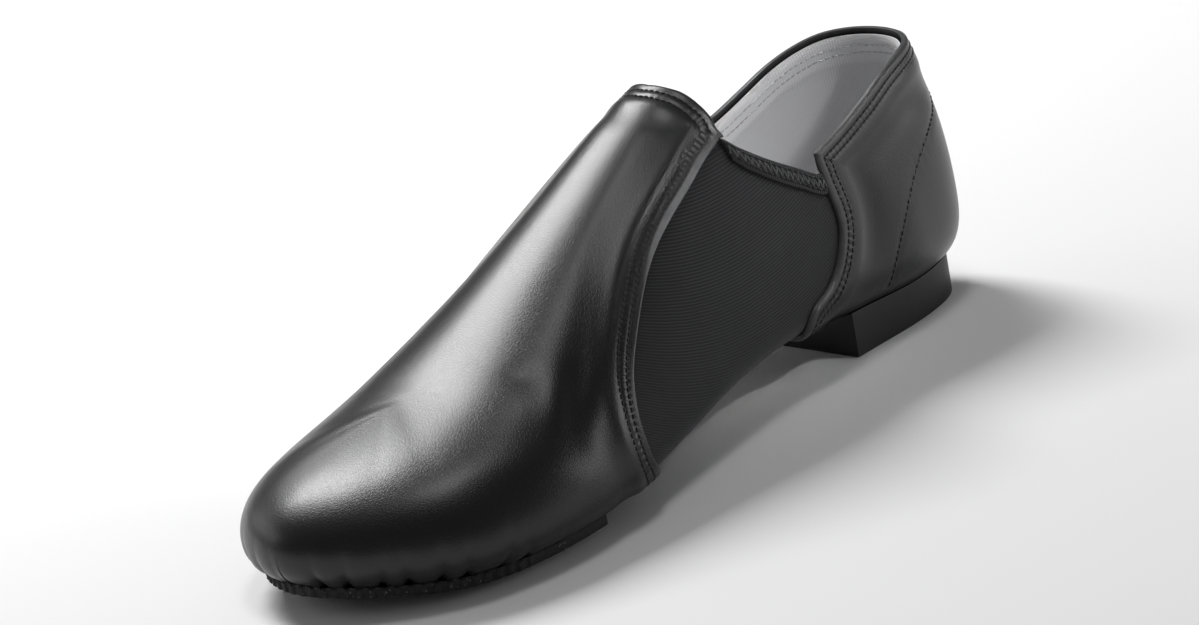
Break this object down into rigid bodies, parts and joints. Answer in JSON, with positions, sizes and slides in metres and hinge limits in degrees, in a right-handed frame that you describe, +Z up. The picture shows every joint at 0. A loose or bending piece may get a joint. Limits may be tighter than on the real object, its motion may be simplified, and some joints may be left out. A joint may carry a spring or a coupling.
{
  "type": "slip-on jazz dance shoe",
  "caption": "Black leather slip-on jazz dance shoe for the left foot, with stretch side gores, a low rubber heel block and a split front sole.",
  "frame": {"origin": "middle of the shoe's box, on the floor that it stands on", "axes": "+X to the toe, +Y to the outer side of the foot, +Z up"},
  "size_m": [0.248, 0.0862, 0.0877],
  "materials": {
    "leather": "smooth black, semi-gloss, fine grain",
    "gore_fabric": "black stretch twill outside, pale grey tricot lining inside",
    "elastic": "woven black elastic, matt",
    "insole": "grey brushed cloth",
    "sole_rubber": "matt black, ribbed at the toe's edge",
    "heel_rubber": "matt black, moulded"
  },
  "bodies": {
    "root": {"upper": "gore_fabric", "vamp": "leather", "quarter": "leather", "binding_left": "elastic", "binding_right": "elastic", "insole": "insole", "front_sole": "sole_rubber", "heel": "heel_rubber"}
  },
  "joints": []
}
